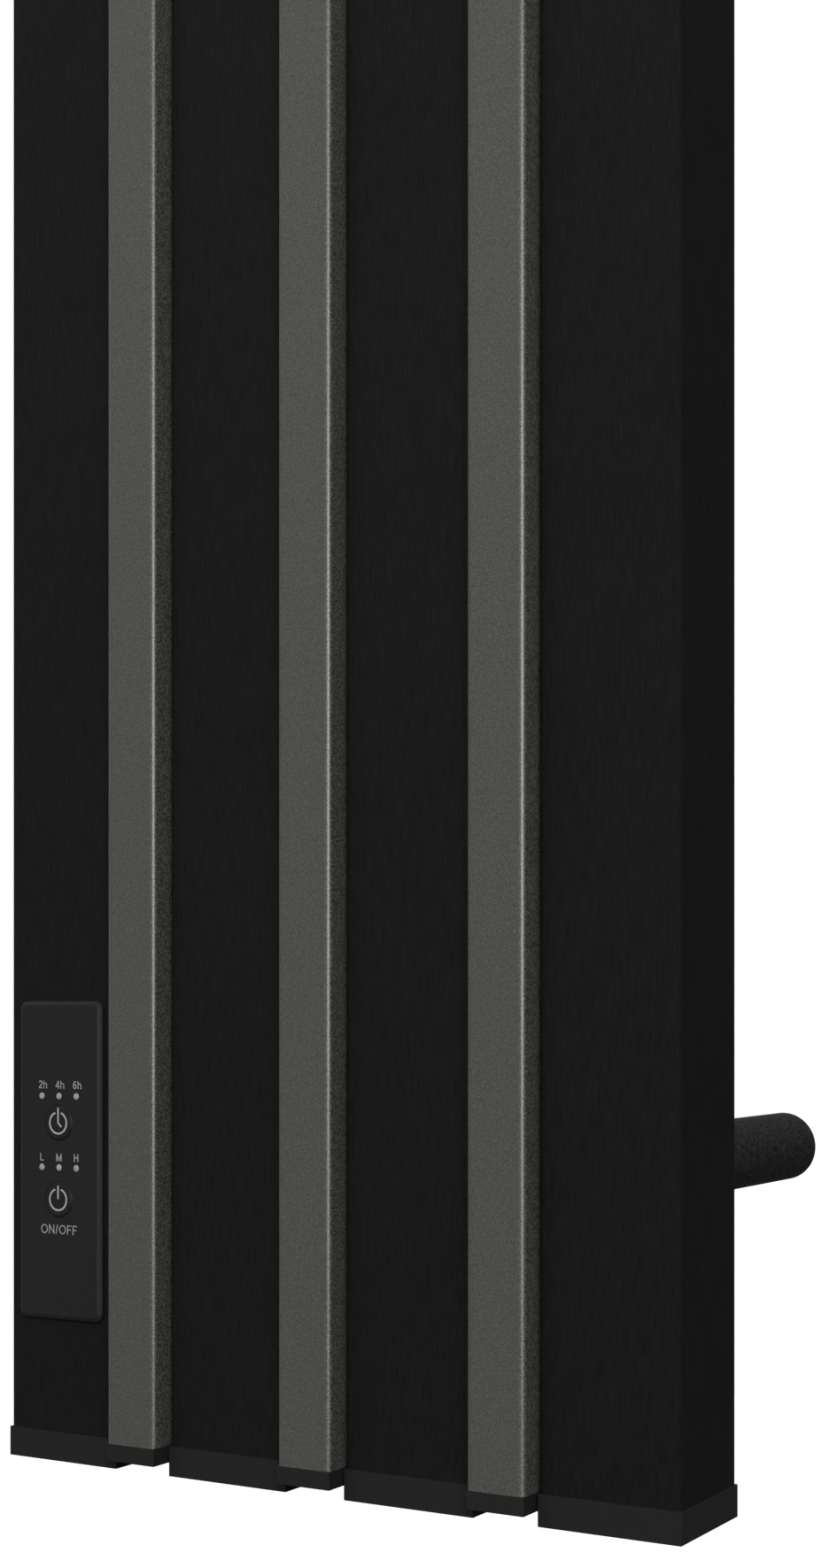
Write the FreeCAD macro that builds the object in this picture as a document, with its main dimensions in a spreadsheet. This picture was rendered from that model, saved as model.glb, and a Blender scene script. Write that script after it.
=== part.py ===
import FreeCAD, Part
import os
import re

import Sketcher

# Heated towel rail: four wide heated bars and three narrow bars that stand proud between them, carried on
# two cross rails and four round stand-offs. Millimetres, +X right, +Y towards the wall, +Z up.
# The origin is on the wall, in the middle of the four wall holes.

sizes = {
    # bars, drawn as upright tubes
    "bar_length": "1178.8",
    "bar_wall": "1.8",
    "wide_width": "51.5",
    "wide_edge": "2",
    "narrow_width": "22.2",
    "narrow_proud": "8",
    "narrow_edge": "2.3",
    "slot_width": "1.6",
    # web and heater channel inside a wide bar
    "web_gap": "1",
    "web_wall": "1.8",
    "web_top_gap": "22",
    "heater_diameter": "8",
    "heater_clearance": "0.3",
    "heater_top_gap": "10",
    "channel_wall": "1.8",
    "back_gap": "8",
    "head_width": "12",
    "head_depth": "11",
    "head_height": "26",
    "head_gap": "2",
    # end caps
    "wide_cap_height": "11.2",
    "narrow_cap_height": "6.6",
    "cap_lip": "0.45",
    "cap_edge": "0.4",
    "spigot_length": "14",
    "spigot_wall": "2",
    "spigot_clearance": "0.2",
    # cross rails
    "wall_gap": "101.5",
    "rail_inset": "109.4",
    "rail_height": "30",
    "rail_thickness": "15",
    "rail_wall": "1.5",
    "rail_overhang": "17",
    "plug_flange": "1.5",
    "plug_length": "6",
    "plug_wall": "1.5",
    "plug_clearance": "0.2",
    # stand-offs and wall plates
    "standoff_offset": "4.65",
    "standoff_diameter": "25.7",
    "standoff_bore": "19",
    "standoff_end": "4",
    "standoff_edge": "0.8",
    "wall_shadow": "0.5",
    "seat_clearance": "0.3",
    "seat_length": "16",
    "wall_hole": "5.5",
    "sink_diameter": "11",
    "sink_depth": "3",
    "grub_diameter": "4",
    "grub_inset": "8",
    "grub_recess": "0.5",
    "grub_socket": "2",
    # screws and nuts
    "bar_screw": "5",
    "bar_head": "9.5",
    "bar_head_height": "3",
    "bar_socket": "3",
    "standoff_screw": "6",
    "standoff_head": "10",
    "standoff_head_height": "6",
    "standoff_socket": "5",
    "head_edge": "0.6",
    "socket_depth": "1.8",
    "hole_clearance": "0.25",
    "thread_clearance": "0.1",
    "nut_width": "10",
    "nut_thickness": "4",
    # wiring
    "trunk_diameter": "5.5",
    "cable_diameter": "4",
    "cable_clearance": "0.3",
    "cable_bend": "4",
    "wire_rise": "7",
    "wire_gap": "0.85",
    "grommet_wall": "1.6",
    "grommet_flange": "1.5",
    "grommet_lip": "1",
    "lead_drop": "6.8",
    "lead_rise": "6",
    "lead_inset": "2.5",
    # control plate and housing
    "plate_low": "43.6",
    "plate_width": "40",
    "plate_height": "121.7",
    "plate_proud": "2.4",
    "plate_corner": "3.3",
    "plate_bevel": "1.5",
    "plate_bevel_depth": "1.3",
    "plate_overlap": "3",
    "housing_clearance": "0.3",
    "housing_wall": "1.5",
    "snap_width": "8",
    "snap_proud": "0.8",
    "snap_length": "3",
    "snap_gap": "0.2",
    "snap_height": "30",
    # push buttons
    "button_diameter": "13.4",
    "button_proud": "0.5",
    "button_bevel": "0.6",
    "button_gap": "0.15",
    "button_seat": "0.15",
    "button_travel": "0.6",
    "button_flange": "1",
    "button_flange_thickness": "1.2",
    "stem_diameter": "4",
    "power_height": "45.9",
    # indicator lights
    "light_diameter": "2.5",
    "light_gap": "0.1",
    "light_spacing": "8.4",
    "heat_row_gap": "4.25",
    "timer_gap": "9.15",
    "timer_row_gap": "2.3",
    "light_collar": "0.8",
    "light_collar_thickness": "1",
    "led_width": "3",
    "led_length": "2",
    "led_height": "1.2",
    # circuit board and what it carries
    "board_inset": "8",
    "board_thickness": "1.6",
    "board_clearance": "0.5",
    "post_diameter": "6",
    "post_inset": "4",
    "board_screw": "2.4",
    "board_screw_length": "6",
    "board_head": "4.6",
    "board_head_height": "1.6",
    "switch_width": "6",
    "switch_height": "3.5",
    "plunger_diameter": "3.4",
    "plunger_height": "0.8",
    "terminal_width": "14",
    "terminal_depth": "10",
    "terminal_height": "18",
    "terminal_gap": "0.2",
    "inlet_gap": "0.15",
    "relay_width": "13",
    "relay_depth": "12",
    "relay_height": "19",
    "relay_inset": "14",
    "relay_gap": "0.9",
    # heat sensors and earth screw on the web of the control bar, placed from the top of the control plate
    "cutout_drop": "12.8",
    "cutout_diameter": "14",
    "cutout_flange": "0.8",
    "cutout_length": "6",
    "sensor_drop": "14.8",
    "sensor_diameter": "8",
    "sensor_length": "3",
    "earth_gap": "12",
    "earth_screw": "4",
    "earth_head": "8",
    "earth_head_height": "2.5",
    # gland where the supply cord enters
    "gland_rise": "40.2",
    "gland_side_gap": "0.545",
    "gland_bore": "6.6",
    "gland_throat": "8.4",
    "gland_thread": "12",
    "gland_inside": "7",
    "gland_flange": "14",
    "gland_flange_length": "5",
    "gland_dome": "13",
    "gland_dome_length": "10",
    "gland_edge": "1.5",
    "gland_nut": "15",
    "gland_nut_thickness": "4",
}

# sizes that follow from the driving ones; bar places are measured from the back face and the lower end
derived = {
    "bar_pitch": "wide_width + narrow_width + 2 * slot_width",
    "board_back": "board_inset + board_thickness",
    "housing_depth": "board_back + relay_depth + relay_gap + housing_wall",
    "web_depth": "housing_depth + web_gap",
    "channel_bore": "heater_diameter + 2 * heater_clearance",
    "wide_depth": "web_depth + web_wall + channel_bore + channel_wall + back_gap + bar_wall",
    "narrow_depth": "wide_depth + narrow_proud",
    "web_back": "web_depth + web_wall - wide_depth",
    "channel_back": "web_back + channel_bore / 2",
    "lead_height": "plate_low + plate_overlap - lead_drop",
    "head_low": "lead_height - lead_rise",
    "web_low": "head_low + head_height + head_gap",
    "hole_spacing_x": "3 * bar_pitch + 2 * standoff_offset",
    "hole_spacing_z": "bar_length - 2 * rail_inset",
    "rail_half": "1.5 * bar_pitch + rail_overhang",
    "standoff_length": "wall_gap - rail_thickness - wall_shadow",
    "seat_diameter": "standoff_bore - 2 * seat_clearance",
    "wire_height": "rail_inset + wire_rise",
    "grommet_bore": "trunk_diameter + 2 * cable_clearance",
    "grommet_body": "grommet_bore + 2 * grommet_wall",
    "wire_offset": "nut_width / 2 + wire_gap + grommet_body / 2 + grommet_flange",
    "cut_half": "plate_width / 2 - plate_overlap",
    "cut_high": "plate_height - plate_overlap",
    "tray_half": "cut_half - housing_clearance",
    "tray_low": "plate_overlap + housing_clearance",
    "tray_high": "cut_high - housing_clearance",
    "floor_depth": "housing_depth - housing_wall",
    "board_half": "tray_half - housing_wall - board_clearance",
    "board_low": "tray_low + housing_wall + board_clearance",
    "board_high": "tray_high - housing_wall - board_clearance",
    "post_side": "board_half - post_inset",
    "post_low": "board_low + post_inset",
    "post_high": "board_high - post_inset",
    "terminal_middle": "wire_height - plate_low",
    "terminal_left": "tray_half - housing_wall - terminal_gap - terminal_width",
    "inlet_offset": "tray_half - housing_wall - inlet_gap - cable_clearance - trunk_diameter / 2",
    "lead_offset": "terminal_left + lead_inset",
    "lead_depth": "board_back + terminal_depth / 2",
    "heat_row": "power_height + (button_diameter + light_diameter) / 2 + heat_row_gap",
    "timer_height": "heat_row + (button_diameter + light_diameter) / 2 + timer_gap",
    "timer_row": "timer_height + (button_diameter + light_diameter) / 2 + timer_row_gap",
    "control_across": "-1.5 * bar_pitch",
    "control_back": "-wall_gap - wide_depth",
    "control_up": "plate_low - bar_length / 2",
    "plate_top": "plate_low + plate_height",
    "sensor_offset": "(channel_bore / 2 + channel_wall + wide_width / 2 - bar_wall) / 2",
    "cutout_height": "plate_top - cutout_drop",
    "sensor_height": "plate_top - sensor_drop",
    "earth_height": "sensor_height + sensor_diameter / 2 + earth_gap + earth_head / 2",
    "gland_offset": "wide_width / 2 - bar_wall - gland_nut * 0.577 - gland_side_gap",
    "gland_height": "plate_top + gland_rise",
}

doc = FreeCAD.newDocument("heated_towel_rail")
sheet = doc.addObject("Spreadsheet::Sheet", "Sizes")
for row, (alias, number) in enumerate(sizes.items(), 1):
    sheet.set(f"A{row}", alias)
    sheet.set(f"B{row}", number)
    sheet.setAlias(f"B{row}", alias)
doc.recompute()

sub_parts = []
touching = 1e-6


# Formulas are written with the names of sizes, which become cells of the sheet.
def formula(words):
    def cell(match):
        name = match[0]
        return f"({formula(derived[name])})" if name in derived else f"Sizes.{name}"

    return re.sub(r"[a-z][a-z_]+", cell, words)


def value(words):
    return float(sheet.evalExpression(formula(words)))


def place(piece, across, back, up, turn=None):
    if turn:
        piece.Placement = FreeCAD.Placement(FreeCAD.Vector(), turn)
    for axis, words in zip("xyz", (across, back, up)):
        piece.setExpression(f"Placement.Base.{axis}", formula(words))


def keep(piece, label):
    piece.Label = label
    sub_parts.append(piece)
    return piece


# Sketch tools. On XZ_Plane a lift moves the sketch towards the front, on XY_Plane upwards.
def new_sketch(body, name, role, lift="0"):
    sketch = body.newObject("Sketcher::SketchObject", f"{body.Name}_{name}")
    origin_plane = next(f for f in body.Origin.OriginFeatures if f.Role == role)
    sketch.AttachmentSupport = (origin_plane, [""])
    sketch.MapMode = "FlatFace"
    sketch.setExpression("AttachmentOffset.Base.z", formula(lift))
    return sketch


def tie_point(sketch, geometry, point, across, up):
    for kind, axis, words in (("DistanceX", -2, across), ("DistanceY", -1, up)):
        if words == "0":
            sketch.addConstraint(Sketcher.Constraint("PointOnObject", geometry, point, axis))
            continue
        distance = Sketcher.Constraint(kind, -1, 1, geometry, point, value(words))
        index = sketch.addConstraint(distance)
        sketch.setExpression(f"Constraints[{index}]", formula(words))


def outline(sketch, points):
    first = sketch.GeometryCount
    corners = [FreeCAD.Vector(value(across), value(up), 0) for across, up in points]
    for start, end in zip(corners, corners[1:] + corners[:1]):
        sketch.addGeometry(Part.LineSegment(start, end))
    for step, (across, up) in enumerate(points):
        after = first + (step + 1) % len(points)
        sketch.addConstraint(Sketcher.Constraint("Coincident", first + step, 2, after, 1))
        tie_point(sketch, first + step, 1, across, up)


def rectangle(sketch, left, right, low, high):
    outline(sketch, [(left, low), (right, low), (right, high), (left, high)])


def hexagon(sketch, flats):
    corner = f"{flats} * {1 / 3 ** 0.5:.6f}"
    half_corner = f"{flats} * {0.5 / 3 ** 0.5:.6f}"
    half = f"{flats} / 2"
    outline(sketch, [
        (corner, "0"), (half_corner, half), (f"-{half_corner}", half),
        (f"-{corner}", "0"), (f"-{half_corner}", f"-{half}"), (half_corner, f"-{half}"),
    ])


def circle(sketch, across, up, diameter):
    middle = FreeCAD.Vector(value(across), value(up), 0)
    index = sketch.addGeometry(Part.Circle(middle, FreeCAD.Vector(0, 0, 1), value(diameter) / 2))
    tie_point(sketch, index, 3, across, up)
    width = sketch.addConstraint(Sketcher.Constraint("Diameter", index, value(diameter)))
    sketch.setExpression(f"Constraints[{width}]", formula(diameter))


# Solid features.
def pad(body, sketch, length, flip=False):
    feature = body.newObject("PartDesign::Pad", f"{sketch.Name}_pad")
    feature.Profile = sketch
    feature.Reversed = flip
    feature.setExpression("Length", formula(length))


def pocket(body, sketch, length, flip=False):
    doc.recompute()
    full_volume = body.Shape.Volume
    feature = body.newObject("PartDesign::Pocket", f"{sketch.Name}_pocket")
    feature.Profile = sketch
    feature.Reversed = flip
    feature.setExpression("Length", formula(length))
    doc.recompute()
    if body.Shape.Volume > full_volume - touching:
        raise RuntimeError(f"{sketch.Name} cuts nothing")


def soften(body, kind, wanted):
    doc.recompute()
    base = body.Tip
    edges = [f"Edge{k}" for k, edge in enumerate(base.Shape.Edges, 1) if wanted(edge.BoundBox)]
    feature = body.newObject(f"PartDesign::{kind}", f"{body.Name}_{kind.lower()}")
    feature.Base = (base, edges)
    return feature


def fillet(body, wanted, radius):
    soften(body, "Fillet", wanted).setExpression("Radius", formula(radius))


# A slope that takes one length off the front face and another off the sides.
def bevel(body, wanted, face_length, side_length):
    feature = soften(body, "Chamfer", wanted)
    feature.ChamferType = "Two distances"
    feature.setExpression("Size", formula(side_length))
    feature.setExpression("Size2", formula(face_length))


# A round piece turned about its own Y axis; the points are radius and place along that axis.
def turned(label, points):
    body = doc.addObject("PartDesign::Body", label)
    section = new_sketch(body, "section", "XY_Plane")
    outline(section, points)
    feature = body.newObject("PartDesign::Revolution", f"{label}_turning")
    feature.Profile = section
    feature.ReferenceAxis = (section, ["V_Axis"])
    feature.Angle = 360
    return body


def block(label, left, width, front, depth, low, height):
    box = doc.addObject("Part::Box", label)
    for side, words in (("Length", width), ("Width", depth), ("Height", height)):
        box.setExpression(side, formula(words))
    place(box, left, front, low)
    return box


# Identical pieces are copies of one template, kept together as separate solids of one sub-part.
def group(label, template, spots):
    copies = []
    for spot in spots:
        copy = doc.addObject("App::Link", f"{label}_copy")
        copy.LinkedObject = template
        place(copy, *spot)
        copies.append(copy)
    whole = doc.addObject("Part::Compound", label)
    whole.Links = copies
    return keep(whole, label)


def wide_across(number):
    return f"{number - 2.5} * bar_pitch"


def narrow_across(number):
    return f"{number - 2} * bar_pitch"


def towards_middle(number):
    return 1 if number <= 2 else -1


# Where the wires pass through the back of a wide bar, measured from the bar's middle.
def wire_across(number):
    return "inlet_offset" if number == 1 else f"{towards_middle(number)} * wire_offset"


rail_levels = {"lower": "rail_inset - bar_length / 2", "upper": "bar_length / 2 - rail_inset"}
rail_heights = ("rail_inset", "bar_length - rail_inset")
wide_numbers = range(1, 5)
narrow_numbers = range(1, 4)
inner_bars = [narrow_across(1), wide_across(2), narrow_across(2), wide_across(3), narrow_across(3)]
sides = {"left": -1, "right": 1}
flip_over = FreeCAD.Rotation(FreeCAD.Vector(1, 0, 0), 180)
half_turn = FreeCAD.Rotation(FreeCAD.Vector(0, 0, 1), 180)


# Bars. The back face is at local Y 0, the lower end at local Z 0.
def bar_tube(label, width, depth, edge):
    bar = doc.addObject("PartDesign::Body", label)
    tube = new_sketch(bar, "tube", "XY_Plane")
    half = f"{width} / 2"
    rectangle(tube, f"-{half}", half, f"-{depth}", "0")
    rectangle(tube, f"bar_wall - {half}", f"{half} - bar_wall", f"bar_wall - {depth}", "-bar_wall")
    pad(bar, tube, "bar_length")
    outer = value(half)

    def upright_corner(box):
        return box.XLength + box.YLength < touching and abs(abs(box.XMin) - outer) < touching

    fillet(bar, upright_corner, edge)
    return bar


def wide_bar(number):
    bar = bar_tube(f"wide_bar_{number}", "wide_width", "wide_depth", "wide_edge")
    web_length = "bar_length - web_low - web_top_gap"
    web = new_sketch(bar, "web", "XY_Plane", "web_low")
    reach = "(wide_width - bar_wall) / 2"
    rectangle(web, f"-{reach}", reach, "web_back - web_wall", "web_back")
    pad(bar, web, web_length)
    channel = new_sketch(bar, "channel", "XY_Plane", "web_low")
    circle(channel, "0", "channel_back", "channel_bore + 2 * channel_wall")
    pad(bar, channel, web_length)
    bore = new_sketch(bar, "bore", "XY_Plane", "web_low")
    circle(bore, "0", "channel_back", "channel_bore")
    pocket(bar, bore, web_length, flip=True)

    holes = new_sketch(bar, "holes", "XZ_Plane")
    outer_side = {1: -1, 4: 1}.get(number)
    for height in rail_heights:
        if outer_side:
            circle(holes, f"{outer_side} * standoff_offset", height, "standoff_screw + 2 * hole_clearance")
        else:
            circle(holes, "0", height, "bar_screw + 2 * hole_clearance")
    wire = wire_across(number)
    circle(holes, wire, "wire_height", "grommet_body + 2 * hole_clearance")
    if number == 1:
        circle(holes, "-gland_offset", "gland_height", "gland_thread + 2 * hole_clearance")
    pocket(bar, holes, "2 * bar_wall", flip=True)

    if number == 1:
        window = new_sketch(bar, "window", "XZ_Plane", "wide_depth")
        rectangle(window, "-cut_half", "cut_half", "plate_low + plate_overlap", "plate_low + cut_high")
        pocket(bar, window, "2 * bar_wall")
        passage = new_sketch(bar, "passage", "XZ_Plane", "web_wall - web_back")
        circle(passage, wire, "wire_height", "grommet_bore + 2 * cable_clearance")
        pocket(bar, passage, "2 * web_wall")
    place(bar, wide_across(number), "-wall_gap", "-bar_length / 2")
    keep(bar, f"wide_bar_{number}")


def narrow_bar(number):
    bar = bar_tube(f"narrow_bar_{number}", "narrow_width", "narrow_depth", "narrow_edge")
    holes = new_sketch(bar, "holes", "XZ_Plane")
    for height in rail_heights:
        circle(holes, "0", height, "bar_screw + 2 * hole_clearance")
    pocket(bar, holes, "2 * bar_wall", flip=True)
    place(bar, narrow_across(number), "-wall_gap", "-bar_length / 2")
    keep(bar, f"narrow_bar_{number}")


# End caps: a plate outside the bar and a hollow spigot inside it. Upper caps are the same piece turned over.
def end_cap(label, width, depth, lip, height, across, at_top):
    cap = doc.addObject("PartDesign::Body", label)
    plate = new_sketch(cap, "plate", "XY_Plane")
    half = f"({width} / 2 + {lip})"
    rectangle(plate, f"-{half}", half, f"-{depth} - {lip}", lip)
    pad(cap, plate, height, flip=True)

    def outside_edge(box):
        return box.ZMax < -touching or box.ZLength > touching

    fillet(cap, outside_edge, "cap_edge")
    spigot = new_sketch(cap, "spigot", "XY_Plane")
    gap = "(bar_wall + spigot_clearance)"
    for inset in (gap, f"({gap} + spigot_wall)"):
        side = f"({width} / 2 - {inset})"
        rectangle(spigot, f"-{side}", side, f"{inset} - {depth}", f"-{inset}")
    pad(cap, spigot, "spigot_length")
    if at_top:
        place(cap, across, f"-wall_gap - {depth}", "bar_length / 2", flip_over)
    else:
        place(cap, across, "-wall_gap", "-bar_length / 2")
    keep(cap, label)


# Cross rails: rectangular tubes behind the bars. The front face is at local Y 0.
def cross_rail(level):
    rail = doc.addObject("PartDesign::Body", f"cross_rail_{level}")
    tube = new_sketch(rail, "tube", "YZ_Plane", "-rail_half")
    rectangle(tube, "0", "rail_thickness", "-rail_height / 2", "rail_height / 2")
    inside = "(rail_height / 2 - rail_wall)"
    rectangle(tube, "rail_wall", "rail_thickness - rail_wall", f"-{inside}", inside)
    pad(rail, tube, "2 * rail_half")
    holes = new_sketch(rail, "holes", "XZ_Plane", "-rail_thickness")
    for across in inner_bars:
        circle(holes, across, "0", "bar_screw + 2 * hole_clearance")
    for side in sides.values():
        circle(holes, f"{side} * hole_spacing_x / 2", "0", "standoff_screw + 2 * hole_clearance")
    pocket(rail, holes, "rail_thickness", flip=True)
    if level == "lower":
        wires = new_sketch(rail, "wires", "XZ_Plane")
        for number in wide_numbers:
            hole_across = f"{wide_across(number)} + {wire_across(number)}"
            circle(wires, hole_across, "wire_rise", "grommet_body + 2 * hole_clearance")
        pocket(rail, wires, "2 * rail_wall")
    place(rail, "0", "-wall_gap", rail_levels[level])
    keep(rail, f"cross_rail_{level}")


# Plugs that close the rail ends; local origin on the rail's axis, at the end of the tube.
def rail_end_plugs():
    plug = doc.addObject("PartDesign::Body", "rail_plug")
    flange = new_sketch(plug, "flange", "YZ_Plane")
    rectangle(flange, "-rail_thickness / 2", "rail_thickness / 2", "-rail_height / 2", "rail_height / 2")
    pad(plug, flange, "plug_flange")
    spigot = new_sketch(plug, "spigot", "YZ_Plane")
    for gap in ("(rail_wall + plug_clearance)", "(rail_wall + plug_clearance + plug_wall)"):
        deep = f"(rail_thickness / 2 - {gap})"
        high = f"(rail_height / 2 - {gap})"
        rectangle(spigot, f"-{deep}", deep, f"-{high}", high)
    pad(plug, spigot, "plug_length", flip=True)
    rail_middle = "rail_thickness / 2 - wall_gap"
    spots = []
    for up in rail_levels.values():
        spots.append(("rail_half", rail_middle, up))
        spots.append(("-rail_half", rail_middle, up, half_turn))
    group("rail_end_plugs", plug, spots)


# Stand-off: a sleeve closed at the rail end, with a grub screw hole below its wall end.
def standoff(level, side):
    label = f"standoff_{level}_{side}"
    outer = "standoff_diameter / 2"
    bore = "standoff_bore / 2"
    hole = "standoff_screw / 2 + hole_clearance"
    sleeve = turned(label, [
        (hole, "0"), (outer, "0"), (outer, "standoff_length - standoff_edge"),
        (f"{outer} - standoff_edge", "standoff_length"), (bore, "standoff_length"),
        (bore, "standoff_end"), (hole, "standoff_end"),
    ])
    grub_hole = new_sketch(sleeve, "grub_hole", "XY_Plane")
    grub_back = "standoff_length + wall_shadow - grub_inset"
    circle(grub_hole, "0", grub_back, "grub_diameter + 2 * thread_clearance")
    pocket(sleeve, grub_hole, "standoff_diameter")
    place(sleeve, f"{sides[side]} * hole_spacing_x / 2", "rail_thickness - wall_gap", rail_levels[level])
    keep(sleeve, label)


# Wall plate: the boss that is screwed to the wall and that the sleeve slides over.
def wall_plate(level, side):
    label = f"wall_plate_{level}_{side}"
    hole = "wall_hole / 2"
    rim = "seat_diameter / 2"
    boss = turned(label, [
        (hole, "0"), (rim, "0"), (rim, "-seat_length"),
        ("sink_diameter / 2", "-seat_length"), (hole, "sink_depth - seat_length"),
    ])
    place(boss, f"{sides[side]} * hole_spacing_x / 2", "0", rail_levels[level])
    keep(boss, label)


def corner_spots(back, drop="0"):
    return [(f"{side} * hole_spacing_x / 2", back, f"{up} - {drop}")
            for up in rail_levels.values() for side in sides.values()]


# Screws that hold the stand-offs, rails and bars together, and the nuts inside the bars.
def fasteners():
    shank = doc.addObject("Part::Cylinder", "grub_shank")
    shank.setExpression("Radius", formula("grub_diameter / 2"))
    shank.setExpression("Height", formula("standoff_diameter / 2 - grub_recess - seat_diameter / 2"))
    socket = doc.addObject("Part::Prism", "grub_socket")
    socket.Polygon = 6
    socket.setExpression("Circumradius", formula("grub_socket / 2"))
    socket.setExpression("Height", formula("grub_socket / 2"))
    grub = doc.addObject("Part::Cut", "grub_screw")
    grub.Base = shank
    grub.Tool = socket
    group("grub_screws", grub, corner_spots("-grub_inset", "(standoff_diameter / 2 - grub_recess)"))

    def screw(label, diameter, head, head_height, socket, length):
        body = turned(label, [
            ("0", f"-({length})"), (f"{diameter} / 2", f"-({length})"), (f"{diameter} / 2", "0"),
            (f"{head} / 2", "0"), (f"{head} / 2", f"{head_height} - head_edge"),
            (f"{head} / 2 - head_edge", head_height), ("0", head_height),
        ])
        drive = new_sketch(body, "drive", "XZ_Plane", f"-{head_height}")
        hexagon(drive, socket)
        pocket(body, drive, "socket_depth", flip=True)
        return body

    def nut(label, diameter):
        body = doc.addObject("PartDesign::Body", label)
        face = new_sketch(body, "face", "XZ_Plane", "bar_wall")
        half = "nut_width / 2"
        rectangle(face, f"-{half}", half, f"-{half}", half)
        circle(face, "0", "0", f"{diameter} + 2 * thread_clearance")
        pad(body, face, "nut_thickness")
        return body

    grip = "rail_thickness + bar_wall + nut_thickness"
    long_screw = screw("long_screw", "standoff_screw", "standoff_head", "standoff_head_height",
                       "standoff_socket", f"standoff_end + {grip}")
    short_screw = screw("short_screw", "bar_screw", "bar_head", "bar_head_height", "bar_socket", grip)
    rail_spots = [(across, up) for up in rail_levels.values() for across in inner_bars]
    group("standoff_screws", long_screw, corner_spots("rail_thickness + standoff_end - wall_gap"))
    group("standoff_nuts", nut("long_nut", "standoff_screw"), corner_spots("-wall_gap"))
    group("bar_screws", short_screw, [(across, "rail_thickness - wall_gap", up) for across, up in rail_spots])
    group("bar_nuts", nut("short_nut", "bar_screw"), [(across, "-wall_gap", up) for across, up in rail_spots])


# Heating element: a sheathed rod in the bar's channel, with its terminal head below the channel.
def heating_element(number):
    element = doc.addObject("PartDesign::Body", f"heating_element_{number}")
    head = new_sketch(element, "head", "XY_Plane", "head_low")
    rectangle(head, "-head_width / 2", "head_width / 2", "-head_depth / 2", "head_depth / 2")
    pad(element, head, "head_height")
    rod = new_sketch(element, "rod", "XY_Plane", "head_low + head_height")
    circle(rod, "0", "0", "heater_diameter")
    pad(element, rod, "bar_length - web_top_gap - heater_top_gap - head_low - head_height")
    place(element, wide_across(number), "channel_back - wall_gap", "-bar_length / 2")
    keep(element, f"heating_element_{number}")


# Wiring: a trunk from the terminals through the lower rail, with a branch down to each heater.
def tube_along(points, diameter):
    bend = value("cable_bend")
    edges = []
    start = points[0]
    for before, corner, after in zip(points, points[1:], points[2:]):
        toward_back = (before - corner).normalize()
        toward_next = (after - corner).normalize()
        arc_start = corner + toward_back * bend
        arc_end = corner + toward_next * bend
        middle = corner + (toward_back + toward_next) * (bend * (1 - 0.5 ** 0.5))
        edges.append(Part.LineSegment(start, arc_start).toShape())
        edges.append(Part.Arc(arc_start, middle, arc_end).toShape())
        start = arc_end
    edges.append(Part.LineSegment(start, points[-1]).toShape())
    section = Part.Circle(points[0], points[1] - points[0], diameter / 2).toShape()
    return Part.Wire(edges).makePipeShell([Part.Wire([section])], True, False)


def wiring_loom():
    back = value("rail_thickness / 2 - wall_gap")
    up = value("wire_height - bar_length / 2")
    low = value("lead_height - bar_length / 2")
    channel = value("channel_back - wall_gap")
    trunk = value("trunk_diameter")
    cable = value("cable_diameter")
    across = {n: value(f"{wide_across(n)} + {wire_across(n)}") for n in wide_numbers}
    head_side = {n: value(f"{wide_across(n)} + {towards_middle(n)} * head_width / 2") for n in wide_numbers}

    def to_heater(n):
        return [FreeCAD.Vector(across[n], channel, up), FreeCAD.Vector(across[n], channel, low),
                FreeCAD.Vector(head_side[n], channel, low)]

    terminal = FreeCAD.Vector(across[1], value("control_back + board_back + terminal_depth"), up)
    turns = [FreeCAD.Vector(across[n], back, up) for n in wide_numbers]
    harness = tube_along([terminal, turns[0], turns[3]] + to_heater(4), trunk)
    for n in (2, 3):
        harness = harness.fuse(tube_along([turns[n - 1]] + to_heater(n), cable))
    lead_across = value("control_across + lead_offset")
    lead_back = value("control_back + lead_depth")
    lead_top = value("control_up + terminal_middle - terminal_height / 2")
    lead = tube_along([
        FreeCAD.Vector(lead_across, lead_back, lead_top), FreeCAD.Vector(lead_across, lead_back, low),
        FreeCAD.Vector(lead_across, channel - value("head_depth") / 2, low),
    ], cable)
    loom = doc.addObject("Part::Feature", "wiring_loom")
    loom.Shape = Part.makeCompound(harness.Solids + [lead])
    keep(loom, "wiring_loom")


def wire_grommets():
    bore = "grommet_bore / 2"
    outer = "grommet_body / 2"
    flange = "grommet_body / 2 + grommet_flange"
    grommet = turned("grommet", [
        (bore, "-bar_wall - grommet_lip"), (flange, "-bar_wall - grommet_lip"), (flange, "-bar_wall"),
        (outer, "-bar_wall"), (outer, "rail_wall"), (bore, "rail_wall"),
    ])
    group("wire_grommets", grommet, [
        (f"{wide_across(n)} + {wire_across(n)}", "-wall_gap", "wire_height - bar_length / 2")
        for n in wide_numbers
    ])


# Control unit on the first bar. Local Y 0 is the bar's front face, local Z 0 the plate's lower edge.
light_spots = [(f"{step} * light_spacing", row) for row in ("heat_row", "timer_row") for step in (-1, 0, 1)]
post_spots = [(f"{side} * post_side", level) for side in (-1, 1) for level in ("post_low", "post_high")]
button_levels = ("timer_height", "power_height")


def at_control(across="0", up="0"):
    return f"control_across + {across}", "control_back", f"control_up + {up}"


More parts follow.
